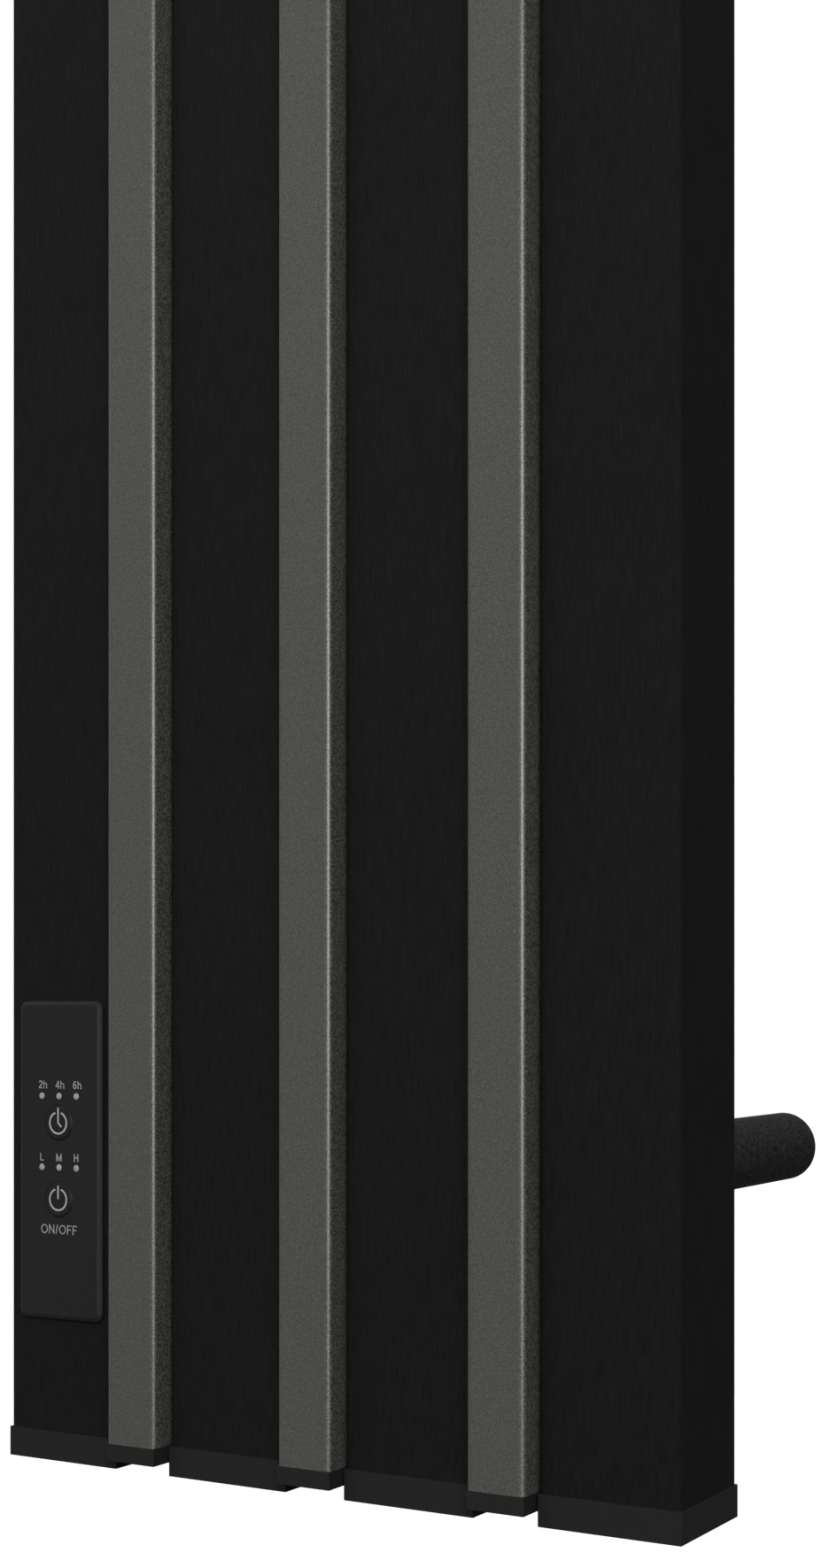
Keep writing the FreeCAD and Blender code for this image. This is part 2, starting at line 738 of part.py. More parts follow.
def control_faceplate():
    plate = doc.addObject("PartDesign::Body", "control_faceplate")
    face = new_sketch(plate, "face", "XZ_Plane")
    rectangle(face, "-plate_width / 2", "plate_width / 2", "0", "plate_height")
    pad(plate, face, "plate_proud")
    front = -value("plate_proud")
    fillet(plate, lambda box: box.YLength > touching, "plate_corner")
    bevel(plate, lambda box: box.YMax < front + touching, "plate_bevel", "plate_bevel_depth")
    holes = new_sketch(plate, "holes", "XZ_Plane", "plate_proud")
    for level in button_levels:
        circle(holes, "0", level, "button_diameter + 2 * button_gap")
    for across, level in light_spots:
        circle(holes, across, level, "light_diameter + 2 * light_gap")
    pocket(plate, holes, "plate_proud")
    place(plate, *at_control())
    keep(plate, "control_faceplate")


def control_housing():
    tray = doc.addObject("PartDesign::Body", "control_housing")
    shell = new_sketch(tray, "shell", "XZ_Plane")
    rectangle(shell, "-tray_half", "tray_half", "tray_low", "tray_high")
    pad(tray, shell, "housing_depth", flip=True)
    hollow = new_sketch(tray, "hollow", "XZ_Plane")
    rectangle(hollow, "housing_wall - tray_half", "tray_half - housing_wall",
              "tray_low + housing_wall", "tray_high - housing_wall")
    pocket(tray, hollow, "floor_depth")
    posts = new_sketch(tray, "posts", "XZ_Plane", "-floor_depth")
    for across, level in post_spots:
        circle(posts, across, level, "post_diameter")
    pad(tray, posts, "floor_depth - board_back")
    pilots = new_sketch(tray, "pilots", "XZ_Plane", "-board_back")
    for across, level in post_spots:
        circle(pilots, across, level, "board_screw + 2 * thread_clearance")
    pocket(tray, pilots, "board_screw_length")
    inlet = new_sketch(tray, "inlet", "XZ_Plane", "-floor_depth")
    circle(inlet, "inlet_offset", "terminal_middle", "trunk_diameter + 2 * cable_clearance")
    pocket(tray, inlet, "2 * housing_wall")
    outlet = new_sketch(tray, "outlet", "XY_Plane", "tray_low + housing_wall")
    circle(outlet, "lead_offset", "lead_depth", "cable_diameter + 2 * cable_clearance")
    pocket(tray, outlet, "2 * housing_wall")
    snaps = new_sketch(tray, "snaps", "XZ_Plane", "-bar_wall - snap_gap")
    for level in ("tray_low + snap_height", "tray_high - snap_height"):
        low, high = f"{level} - snap_width / 2", f"{level} + snap_width / 2"
        rectangle(snaps, "-tray_half - snap_proud", "housing_wall / 2 - tray_half", low, high)
        rectangle(snaps, "tray_half - housing_wall / 2", "tray_half + snap_proud", low, high)
    pad(tray, snaps, "snap_length", flip=True)
    place(tray, *at_control())
    keep(tray, "control_housing")


def control_board():
    board = doc.addObject("PartDesign::Body", "control_board")
    sheet_outline = new_sketch(board, "outline", "XZ_Plane", "-board_inset")
    rectangle(sheet_outline, "-board_half", "board_half", "board_low", "board_high")
    for across, level in post_spots:
        circle(sheet_outline, across, level, "board_screw + 2 * hole_clearance")
    pad(board, sheet_outline, "board_thickness", flip=True)
    place(board, *at_control())
    keep(board, "control_board")
    head_front = "board_inset - board_head_height"
    screw_end = "board_back + board_screw_length"
    screw = turned("board_screw", [
        ("0", head_front), ("board_head / 2", head_front), ("board_head / 2", "board_inset"),
        ("board_screw / 2", "board_inset"), ("board_screw / 2", screw_end), ("0", screw_end),
    ])
    group("board_screws", screw, [at_control(across, level) for across, level in post_spots])


# The buttons are held behind the plate by a flange and press on the switches through a short stem.
def push_button(label, level):
    rim = "button_diameter / 2"
    flange = "button_diameter / 2 + button_flange"
    front = "-plate_proud - button_proud"
    flange_end = "button_seat + button_flange_thickness"
    stem_end = "board_inset - switch_height - plunger_height - button_travel - button_gap"
    button = turned(label, [
        ("0", front), (f"{rim} - button_bevel", front), (rim, f"{front} + button_bevel"),
        (rim, "button_seat"), (flange, "button_seat"), (flange, flange_end),
        ("stem_diameter / 2", flange_end), ("stem_diameter / 2", stem_end), ("0", stem_end),
    ])
    place(button, *at_control("0", level))
    keep(button, label)


def button_switches():
    switch = doc.addObject("PartDesign::Body", "switch")
    base = new_sketch(switch, "base", "XZ_Plane", "-board_inset")
    half = "switch_width / 2"
    rectangle(base, f"-{half}", half, f"-{half}", half)
    pad(switch, base, "switch_height")
    plunger = new_sketch(switch, "plunger", "XZ_Plane", "switch_height - board_inset")
    circle(plunger, "0", "0", "plunger_diameter")
    pad(switch, plunger, "plunger_height")
    group("button_switches", switch, [at_control("0", level) for level in button_levels])


def indicator_lights():
    rod = "light_diameter / 2"
    collar = "light_diameter / 2 + light_collar"
    led_front = "board_inset - led_height"
    pipe = turned("light_pipe", [
        ("0", "-plate_proud"), (rod, "-plate_proud"), (rod, "0"), (collar, "0"),
        (collar, "light_collar_thickness"), (rod, "light_collar_thickness"),
        (rod, led_front), ("0", led_front),
    ])
    group("light_pipes", pipe, [at_control(across, level) for across, level in light_spots])
    chip = doc.addObject("PartDesign::Body", "led")
    face = new_sketch(chip, "face", "XZ_Plane", "-board_inset")
    rectangle(face, "-led_width / 2", "led_width / 2", "-led_length / 2", "led_length / 2")
    pad(chip, face, "led_height")
    group("indicator_leds", chip, [at_control(across, level) for across, level in light_spots])


def board_blocks():
    behind_board = "control_back + board_back"
    keep(block("terminal_block", "control_across + terminal_left", "terminal_width",
               behind_board, "terminal_depth",
               "control_up + terminal_middle - terminal_height / 2", "terminal_height"), "terminal_block")
    keep(block("power_relay", "control_across - board_half", "relay_width", behind_board, "relay_depth",
               "control_up + plate_height - relay_inset - relay_height", "relay_height"), "power_relay")


# Heat sensors and earth screw sit on the rear of the control bar's web.
def web_fittings():
    web = "web_back - wall_gap"
    rim = "cutout_diameter / 2"
    half_rim = "cutout_diameter / 4"
    cutout = turned("thermal_cutout", [
        ("0", "0"), (rim, "0"), (rim, "cutout_flange"), (f"{rim} - cutout_flange", "cutout_flange"),
        (f"{rim} - cutout_flange", "cutout_length / 2"), (half_rim, "cutout_length / 2"),
        (half_rim, "cutout_length"), ("0", "cutout_length"),
    ])
    place(cutout, "control_across - sensor_offset", web, "cutout_height - bar_length / 2")
    keep(cutout, "thermal_cutout")
    sensor = turned("temperature_sensor", [
        ("0", "0"), ("sensor_diameter / 2", "0"), ("sensor_diameter / 2", "sensor_length / 2"),
        ("sensor_diameter / 4", "sensor_length"), ("0", "sensor_length"),
    ])
    place(sensor, "control_across + sensor_offset", web, "sensor_height - bar_length / 2")
    keep(sensor, "temperature_sensor")
    earth = turned("earth_screw", [
        ("0", "0"), ("earth_head / 2", "0"), ("earth_head / 2", "earth_head_height / 2"),
        ("earth_screw / 2", "earth_head_height"), ("0", "earth_head_height"),
    ])
    place(earth, "control_across + sensor_offset", web, "earth_height - bar_length / 2")
    keep(earth, "earth_screw")


# Gland for the supply cord, behind the control bar, with its locknut inside the bar.
def cable_gland():
    bore = "gland_bore / 2"
    throat = "gland_throat / 2"
    thread = "gland_thread / 2"
    dome = "gland_dome / 2"
    dome_end = "gland_flange_length + gland_dome_length"
    thread_end = "-bar_wall - gland_inside"
    spot = ("control_across - gland_offset", "-wall_gap", "gland_height - bar_length / 2")
    gland = turned("cable_gland", [
        (throat, thread_end), (thread, thread_end), (thread, "gland_flange_length"),
        (dome, "gland_flange_length"), (dome, f"{dome_end} - gland_edge"), (f"{dome} - gland_edge", dome_end),
        (bore, dome_end), (bore, "gland_flange_length"), (throat, "gland_flange_length"),
    ])
    flange = new_sketch(gland, "flange", "XZ_Plane")
    hexagon(flange, "gland_flange")
    circle(flange, "0", "0", "gland_throat")
    pad(gland, flange, "gland_flange_length", flip=True)
    place(gland, *spot)
    keep(gland, "cable_gland")
    locknut = doc.addObject("PartDesign::Body", "gland_nut")
    face = new_sketch(locknut, "face", "XZ_Plane", "bar_wall")
    hexagon(face, "gland_nut")
    circle(face, "0", "0", "gland_thread + 2 * thread_clearance")
    pad(locknut, face, "gland_nut_thickness")
    place(locknut, *spot)
    keep(locknut, "gland_nut")


for number in wide_numbers:
    wide_bar(number)
    heating_element(number)
for number in narrow_numbers:
    narrow_bar(number)
for level in ("bottom", "top"):
    for number in wide_numbers:
        end_cap(f"wide_{level}_cap_{number}", "wide_width", "wide_depth", "cap_lip", "wide_cap_height",
                wide_across(number), level == "top")
    for number in narrow_numbers:
        end_cap(f"narrow_{level}_cap_{number}", "narrow_width", "narrow_depth", "0", "narrow_cap_height",
                narrow_across(number), level == "top")
for level in rail_levels:
    cross_rail(level)
    for side in sides:
        standoff(level, side)
        wall_plate(level, side)
rail_end_plugs()
fasteners()
wire_grommets()
wiring_loom()
control_faceplate()
control_housing()
control_board()
push_button("timer_button", "timer_height")
push_button("power_button", "power_height")
button_switches()
indicator_lights()
board_blocks()
web_fittings()
cable_gland()
doc.recompute()

for piece in doc.Objects:
    if "Invalid" in piece.State or "Error" in piece.State:
        raise RuntimeError(f"{piece.Label} failed: {piece.State}")
for piece in sub_parts:
    if piece.Shape.isNull() or not piece.Shape.isValid():
        raise RuntimeError(f"{piece.Label} has no valid shape")

os.makedirs("parts", exist_ok=True)
for piece in sub_parts:
    piece.Shape.exportStep(f"parts/{piece.Label}.step")
print(f"{len(sub_parts)} sub-parts, wall holes {value('hole_spacing_x')} by {value('hole_spacing_z')} mm, "
      f"bar depth {value('wide_depth')} mm")
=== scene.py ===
import math

import bmesh
import bpy
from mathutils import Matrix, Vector


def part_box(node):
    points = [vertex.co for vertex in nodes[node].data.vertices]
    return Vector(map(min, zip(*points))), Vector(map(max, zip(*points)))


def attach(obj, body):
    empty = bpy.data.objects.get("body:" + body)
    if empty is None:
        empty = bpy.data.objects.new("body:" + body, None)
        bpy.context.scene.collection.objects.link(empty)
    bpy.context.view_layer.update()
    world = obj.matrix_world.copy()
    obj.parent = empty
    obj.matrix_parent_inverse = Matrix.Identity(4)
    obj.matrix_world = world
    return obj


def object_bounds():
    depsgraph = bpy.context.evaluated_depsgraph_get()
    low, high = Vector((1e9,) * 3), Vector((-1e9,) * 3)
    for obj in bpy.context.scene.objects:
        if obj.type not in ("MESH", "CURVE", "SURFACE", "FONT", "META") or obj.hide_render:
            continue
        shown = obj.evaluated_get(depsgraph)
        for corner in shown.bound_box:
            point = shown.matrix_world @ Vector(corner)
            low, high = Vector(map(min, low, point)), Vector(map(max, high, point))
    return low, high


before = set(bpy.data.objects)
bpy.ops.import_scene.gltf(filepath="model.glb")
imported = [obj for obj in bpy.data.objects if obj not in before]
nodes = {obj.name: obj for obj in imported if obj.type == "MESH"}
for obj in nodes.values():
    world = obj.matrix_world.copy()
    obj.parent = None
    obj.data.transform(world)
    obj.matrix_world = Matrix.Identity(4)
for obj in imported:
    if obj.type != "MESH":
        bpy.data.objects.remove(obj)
cadBox = [list(corner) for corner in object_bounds()]
scene = bpy.context.scene
mm = 0.001
print("frame loaded:", len(nodes), "CAD nodes")


def hexColour(code):                                  # sRGB hex to linear
    channels = [int(code[i:i + 2], 16) / 255 for i in (1, 3, 5)]
    linear = [c / 12.92 if c <= 0.04045 else ((c + 0.055) / 1.055) ** 2.4 for c in channels]
    return (*linear, 1.0)


def addNode(tree, kind, inputs=None, **settings):     # one node, its settings, values and links
    made = tree.nodes.new(kind)
    for name, value in settings.items():
        setattr(made, name, value)
    for socket, value in (inputs or {}).items():
        if isinstance(value, bpy.types.NodeSocket):
            tree.links.new(value, made.inputs[socket])
        else:
            made.inputs[socket].default_value = value
    return made


def startMaterial(name, **sockets):
    material = bpy.data.materials.new(name)
    material.use_nodes = True
    tree = material.node_tree
    tree.nodes.clear()
    values = {words.replace("_", " "): value for words, value in sockets.items()}
    shader = addNode(tree, "ShaderNodeBsdfPrincipled", values)
    addNode(tree, "ShaderNodeOutputMaterial", {"Surface": shader.outputs["BSDF"]})
    place = addNode(tree, "ShaderNodeTexCoord").outputs["Object"]
    return material, tree, shader, place


def facing(tree, axis):                               # how squarely a face looks along an axis, 0 to 1
    normal = addNode(tree, "ShaderNodeTexCoord").outputs["Normal"]
    parts = addNode(tree, "ShaderNodeSeparateXYZ", {"Vector": normal})
    return addNode(tree, "ShaderNodeMath", {0: parts.outputs[axis]}, operation="ABSOLUTE").outputs[0]


# Finishes. Grain sizes and reliefs are in millimetres on the object.
noiseSpan = {"From Min": 0.3, "From Max": 0.7}        # where most of a noise lies

anodised = {"dark": "#171717", "light": "#202020", "streakWidth": 0.7, "streakLength": 9.0,
            "cloudSize": 40.0, "cloudShare": 0.1, "relief": 0.004, "smooth": 0.48, "rough": 0.62}


def brushedAnodised():
    # Aluminium brushed along the bar, then dyed black: matt black with faint streaks that run lengthwise.
    # Real brush lines are near 0.1 mm wide; they are drawn 0.7 mm wide so that they show.
    material, tree, shader, place = startMaterial(
        "brushed_black_anodised_aluminium", Specular_IOR_Level=0.0006)
    wide, long = 1 / (anodised["streakWidth"] * mm), 1 / (anodised["streakLength"] * mm)
    along = addNode(tree, "ShaderNodeMapping", {"Vector": place, "Scale": (wide, wide, long)})
    streaks = addNode(tree, "ShaderNodeTexNoise", {
        "Vector": along.outputs[0], "Scale": 1.0, "Detail": 3.0, "Roughness": 0.6})
    clouds = addNode(tree, "ShaderNodeTexNoise", {
        "Vector": place, "Scale": 1 / (anodised["cloudSize"] * mm), "Detail": 2.0})
    blend = addNode(tree, "ShaderNodeMix", {
        0: anodised["cloudShare"], 2: streaks.outputs["Fac"], 3: clouds.outputs["Fac"]})
    share = addNode(tree, "ShaderNodeMapRange", {"Value": blend.outputs[0], **noiseSpan})
    tone = addNode(tree, "ShaderNodeMix", {
        0: share.outputs[0], 6: hexColour(anodised["dark"]), 7: hexColour(anodised["light"])},
        data_type="RGBA")
    gloss = addNode(tree, "ShaderNodeMapRange", {
        "Value": streaks.outputs["Fac"], **noiseSpan,
        "To Min": anodised["smooth"], "To Max": anodised["rough"]})
    relief = addNode(tree, "ShaderNodeBump", {
        "Strength": 0.5, "Distance": anodised["relief"] * mm, "Height": streaks.outputs["Fac"]})
    tree.links.new(tone.outputs[2], shader.inputs["Base Color"])
    tree.links.new(gloss.outputs[0], shader.inputs["Roughness"])
    tree.links.new(relief.outputs[0], shader.inputs["Normal"])
    return material


# On side faces the grain is drawn harder and a little lighter: painted light and shade of the relief.
powder = {"dark": "#333431", "light": "#51524c", "fleckSize": 0.6, "sideFleckSize": 0.75, "relief": 0.06,
          "sideGrainAndShadeSpan": {"From Min": 0.42, "From Max": 0.58, "To Min": -0.25, "To Max": 1.45},
          "edgeTurn": 0.93, "flatTurn": 0.99, "edgeRoughness": 0.42, "flatRoughness": 0.85}


def metallicPowderCoat():
    # Anthracite powder coat with aluminium flake: a matt skin that sparkles in fine grains. On the narrow
    # sides the grain is drawn larger, harder and a little lighter: painted light and shade of the relief
    # under grazing light. The coat flows out on the rounded edges, which shine. Real flakes are near 0.1 mm;
    # they are drawn 0.6 to 0.75 mm so that they show.
    material, tree, shader, place = startMaterial(
        "metallic_anthracite_powder_coat", Specular_IOR_Level=0.13)
    grain = addNode(tree, "ShaderNodeTexNoise", {
        "Vector": place, "Scale": 1 / (powder["fleckSize"] * mm), "Detail": 2.0, "Roughness": 0.7})
    even = addNode(tree, "ShaderNodeMapRange", {"Value": grain.outputs["Fac"], **noiseSpan})
    # painted light and shade on the sides: their grain is stretched harder and a little lighter, standing in
    # for the relief under grazing light
    coarse = addNode(tree, "ShaderNodeTexNoise", {
        "Vector": place, "Scale": 1 / (powder["sideFleckSize"] * mm), "Detail": 2.0, "Roughness": 0.7})
    hard = addNode(tree, "ShaderNodeMapRange", {"Value": coarse.outputs["Fac"], **powder["sideGrainAndShadeSpan"]})
    share = addNode(tree, "ShaderNodeMix", {
        0: facing(tree, "X"), 2: even.outputs[0], 3: hard.outputs[0]})
    tone = addNode(tree, "ShaderNodeMix", {
        0: share.outputs[0], 6: hexColour(powder["dark"]), 7: hexColour(powder["light"])},
        data_type="RGBA", clamp_factor=False)
    gloss = addNode(tree, "ShaderNodeMapRange", {
        "Value": facing(tree, "Y"), "From Min": powder["edgeTurn"], "From Max": powder["flatTurn"],
        "To Min": powder["edgeRoughness"], "To Max": powder["flatRoughness"]})
    relief = addNode(tree, "ShaderNodeBump", {
        "Strength": 1.0, "Distance": powder["relief"] * mm, "Height": grain.outputs["Fac"]})
    tree.links.new(tone.outputs[2], shader.inputs["Base Color"])
    tree.links.new(gloss.outputs[0], shader.inputs["Roughness"])
    tree.links.new(relief.outputs[0], shader.inputs["Normal"])
    return material


def grainedSkin(name, dark, light, grainSize, relief, **sockets):
    # A skin of one colour with a fine grain: moulded plastic, paint, rubber, ink or plated metal. The grain
    # is a few times coarser than the real 0.05 to 0.3 mm, so that it shows.
    material, tree, shader, place = startMaterial(name, **sockets)
    grain = addNode(tree, "ShaderNodeTexNoise", {
        "Vector": place, "Scale": 1 / (grainSize * mm), "Detail": 3.0, "Roughness": 0.6})
    share = addNode(tree, "ShaderNodeMapRange", {"Value": grain.outputs["Fac"], **noiseSpan})
    tone = addNode(tree, "ShaderNodeMix", {
        0: share.outputs[0], 6: hexColour(dark), 7: hexColour(light)}, data_type="RGBA")
    bump = addNode(tree, "ShaderNodeBump", {
        "Strength": 0.5, "Distance": relief * mm, "Height": grain.outputs["Fac"]})
    tree.links.new(tone.outputs[2], shader.inputs["Base Color"])
    tree.links.new(bump.outputs[0], shader.inputs["Normal"])
    return material


# The rim tones are a painted sheen: the bevel is drawn lighter than the flat face, as if it caught the light.
plate = {"dark": "#232323", "light": "#272727", "paintedSheenDark": "#282828", "paintedSheenLight": "#2d2d2d",
         "grainSize": 0.5, "rimTurn": 0.96, "faceTurn": 0.99}


def bevelledPlate():
    # Moulded ABS: an even satin black on the flat face, with a painted sheen that makes the bevel a shade
    # lighter, standing in for the light the bevel reflects. Its grain too is drawn coarser than the real one.
    material, tree, shader, place = startMaterial(
        "moulded_abs_with_painted_bevel_sheen", Roughness=0.42, Specular_IOR_Level=0.014)
    grain = addNode(tree, "ShaderNodeTexNoise", {
        "Vector": place, "Scale": 1 / (plate["grainSize"] * mm), "Detail": 3.0, "Roughness": 0.6})
    share = addNode(tree, "ShaderNodeMapRange", {"Value": grain.outputs["Fac"], **noiseSpan})
    faceTone = addNode(tree, "ShaderNodeMix", {
        0: share.outputs[0], 6: hexColour(plate["dark"]), 7: hexColour(plate["light"])}, data_type="RGBA")
    # painted sheen: a lighter tone on the bevel faces, in place of the light they reflect
    paintedSheen = addNode(tree, "ShaderNodeMix", {
        0: share.outputs[0], 6: hexColour(plate["paintedSheenDark"]), 7: hexColour(plate["paintedSheenLight"])},
        data_type="RGBA")
    flat = addNode(tree, "ShaderNodeMapRange", {
        "Value": facing(tree, "Y"), "From Min": plate["rimTurn"], "From Max": plate["faceTurn"]})
    tone = addNode(tree, "ShaderNodeMix", {
        0: flat.outputs[0], 6: paintedSheen.outputs[2], 7: faceTone.outputs[2]}, data_type="RGBA")
    tree.links.new(tone.outputs[2], shader.inputs["Base Color"])
    return material


# Spark-eroded mould grain on ABS: an even satin black.
capAbs = grainedSkin("moulded_satin_abs", "#252525", "#2a2a2a", 0.6, 0.02,
                     Roughness=0.5, Specular_IOR_Level=0.0006)
plateAbs = grainedSkin("moulded_control_abs", "#232323", "#272727", 0.5, 0.01,
                       Roughness=0.42, Specular_IOR_Level=0.01)
# Wrinkle powder coat: black, with a sandy relief that breaks up the light, drawn deeper so that it shows.
wrinkleCoat = grainedSkin("black_wrinkle_powder_coat", "#121212", "#363636", 1.2, 0.9,
                          Roughness=0.6, Specular_IOR_Level=0.0006)
# Paint, nylon, rubber and PVC: plain blacks, from satin to dull.
railPaint = grainedSkin("black_painted_steel", "#1e1e1e", "#262626", 1.2, 0.02,
                        Roughness=0.5, Specular_IOR_Level=0.05)
glandNylon = grainedSkin("moulded_black_nylon", "#202020", "#282828", 0.6, 0.01,
                         Roughness=0.5, Specular_IOR_Level=0.05)
sealRubber = grainedSkin("moulded_black_rubber", "#161616", "#1e1e1e", 0.8, 0.02,
                         Roughness=0.8, Specular_IOR_Level=0.05)
leadPvc = grainedSkin("extruded_black_pvc", "#181818", "#202020", 0.8, 0.01,
                      Roughness=0.5, Specular_IOR_Level=0.1)
componentBlack = grainedSkin("moulded_component_nylon", "#1b1c1e", "#26272a", 0.6, 0.01,
                             Roughness=0.5, Specular_IOR_Level=0.1)
# Solder resist on a circuit board: a half-gloss green.
boardResist = grainedSkin("green_solder_resist", "#123a1e", "#1a4a28", 1.5, 0.01,
                          Roughness=0.35, Specular_IOR_Level=0.4)
# Bright zinc on steel and a drawn sheath: both plain metals with a soft mottle.
zincSteel = grainedSkin("zinc_plated_steel", "#989a9c", "#b0b2b4", 1.0, 0.008,
                        Roughness=0.45, Metallic=1.0)
sheathSteel = grainedSkin("drawn_sheath_steel", "#8f8f8d", "#a5a5a2", 1.5, 0.008,
                          Roughness=0.35, Metallic=1.0)
# Screen-printed ink and frosted lenses: pale grey, flat on the plate and soft on the lenses.
markInk = grainedSkin("screen_printed_grey_ink", "#a0a0a0", "#acacac", 0.3, 0.002,
                      Roughness=0.6, Specular_IOR_Level=0.1)
lensFrost = grainedSkin("frosted_polycarbonate", "#8e8e8e", "#9a9a9a", 0.3, 0.002,
                        Roughness=0.4, Specular_IOR_Level=0.2)
barAnodised = brushedAnodised()
barPowder = metallicPowderCoat()
plateFilm = bevelledPlate()
print("finishes made:", len(bpy.data.materials))

finishes = [
    ("wide_bar_", barAnodised), ("narrow_bar_", barPowder), ("wide_bottom_cap_", capAbs),
    ("wide_top_cap_", capAbs), ("narrow_bottom_cap_", capAbs), ("narrow_top_cap_", capAbs),
    ("cross_rail_", railPaint), ("rail_end_plugs", capAbs), ("standoff_screws", zincSteel),
    ("standoff_nuts", zincSteel), ("standoff_", wrinkleCoat), ("wall_plate_", zincSteel),
    ("grub_screws", zincSteel), ("bar_screws", zincSteel), ("bar_nuts", zincSteel),
    ("board_screws", zincSteel), ("earth_screw", zincSteel), ("wire_grommets", sealRubber),
    ("wiring_loom", leadPvc), ("heating_element_", sheathSteel), ("control_faceplate", plateFilm),
    ("control_housing", plateAbs), ("timer_button", plateAbs), ("power_button", plateAbs),
    ("control_board", boardResist), ("light_pipes", lensFrost), ("indicator_leds", lensFrost),
    ("button_switches", componentBlack), ("power_relay", componentBlack), ("terminal_block", componentBlack),
    ("thermal_cutout", componentBlack), ("temperature_sensor", componentBlack),
    ("cable_gland", glandNylon), ("gland_nut", glandNylon),
]
for name, piece in nodes.items():
    finish = next(material for start, material in finishes if name.startswith(start))
    for slot in piece.material_slots:
        slot.material = finish
print("finishes on CAD nodes:", len(nodes))


def keepMesh(name, mesh, material):                   # a finished piece at the origin, its place in its mesh
    work = bmesh.new()
    work.from_mesh(mesh)
    bmesh.ops.remove_doubles(work, verts=work.verts, dist=1e-7)
    bmesh.ops.recalc_face_normals(work, faces=work.faces)
    work.to_mesh(mesh)
    work.free()
    mesh.materials.clear()
    mesh.materials.append(material)
    piece = bpy.data.objects.new(name, mesh)
    scene.collection.objects.link(piece)
    return piece


def runTree(name, tree, values, material):            # a node tree's result as a plain mesh
    piece = bpy.data.objects.new(name, bpy.data.meshes.new(name))
    scene.collection.objects.link(piece)
    modifier = piece.modifiers.new("build", "NODES")
    modifier.node_group = tree
    sockets = {item.name: item.identifier for item in tree.interface.items_tree if item.in_out == "INPUT"}
    for words, value in values.items():
        modifier[sockets[words]] = value
    modifier[sockets["Finish"]] = material
    seen = piece.evaluated_get(bpy.context.evaluated_depsgraph_get())
    mesh = bpy.data.meshes.new_from_object(seen)
    piece.modifiers.remove(modifier)
    piece.data = mesh
    return piece


def startTree(name, values):                          # a tree with named sizes and a finish
    tree = bpy.data.node_groups.new(name, "GeometryNodeTree")
    for words, value in values.items():
        kind = "NodeSocketVector" if isinstance(value, tuple) else "NodeSocketFloat"
        tree.interface.new_socket(words, in_out="INPUT", socket_type=kind)
    tree.interface.new_socket("Finish", in_out="INPUT", socket_type="NodeSocketMaterial")
    tree.interface.new_socket("Geometry", in_out="OUTPUT", socket_type="NodeSocketGeometry")
    return tree, addNode(tree, "NodeGroupInput").outputs


plateLow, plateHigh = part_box("control_faceplate")
plateMiddle = (plateLow.x + plateHigh.x) / 2


def onPlate(up, across=0.0):                          # a point of the plate's face, mm above its lower edge
    return Vector((plateMiddle + across * mm, plateLow.y, plateLow.z + up * mm))


# Lights: six frosted lenses, two rows of three. Rows are measured from the plate's lower edge, all in mm.
lights = {"perRow": 3, "spacing": 8.4, "heatRow": 58.1, "timerRow": 85.45, "radius": 1.2, "rise": 0.25}


def indicatorLenses():
    middle = onPlate((lights["heatRow"] + lights["timerRow"]) / 2)
    values = {"Row length": (lights["perRow"] - 1) * lights["spacing"] * mm,
              "Row gap": (lights["timerRow"] - lights["heatRow"]) * mm,
              "Radius": lights["radius"] * mm, "Flatness": lights["rise"] / lights["radius"],
              "Middle": tuple(middle)}
    tree, given = startTree("indicator_lens_rows", values)
    grid = addNode(tree, "GeometryNodeMeshGrid", {
        "Size X": given["Row length"], "Size Y": given["Row gap"],
        "Vertices X": lights["perRow"], "Vertices Y": 2})
    dome = addNode(tree, "GeometryNodeMeshUVSphere", {"Segments": 32, "Rings": 16, "Radius": given["Radius"]})
    squash = addNode(tree, "ShaderNodeCombineXYZ", {0: 1.0, 1: 1.0, 2: given["Flatness"]})
    lenses = addNode(tree, "GeometryNodeInstanceOnPoints", {
        "Points": grid.outputs["Mesh"], "Instance": dome.outputs["Mesh"], "Scale": squash.outputs[0]})
    upright = addNode(tree, "GeometryNodeTransform", {
        "Geometry": lenses.outputs[0], "Translation": given["Middle"], "Rotation": (math.pi / 2, 0, 0)})
    whole = addNode(tree, "GeometryNodeRealizeInstances", {"Geometry": upright.outputs[0]})
    smooth = addNode(tree, "GeometryNodeSetShadeSmooth", {"Geometry": whole.outputs[0]})
    done = addNode(tree, "GeometryNodeSetMaterial", {
        "Geometry": smooth.outputs[0], "Material": given["Finish"]})
    addNode(tree, "NodeGroupOutput", {"Geometry": done.outputs[0]})
    return runTree("indicator_lenses", tree, values, lensFrost)


lenses = indicatorLenses()
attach(lenses, "frame")
print("lights made")

# Printed marks: flat strokes of one width on a front face, in mm from a point of it.
marks = {"rise": 0.05, "arcSteps": 24}


def arc(middle, radii, start, end):                   # points of an elliptic arc, angles in degrees
    steps = marks["arcSteps"]
    turns = [math.radians(start + (end - start) * k / steps) for k in range(steps + 1)]
    return [(middle[0] + radii[0] * math.cos(t), middle[1] + radii[1] * math.sin(t)) for t in turns]


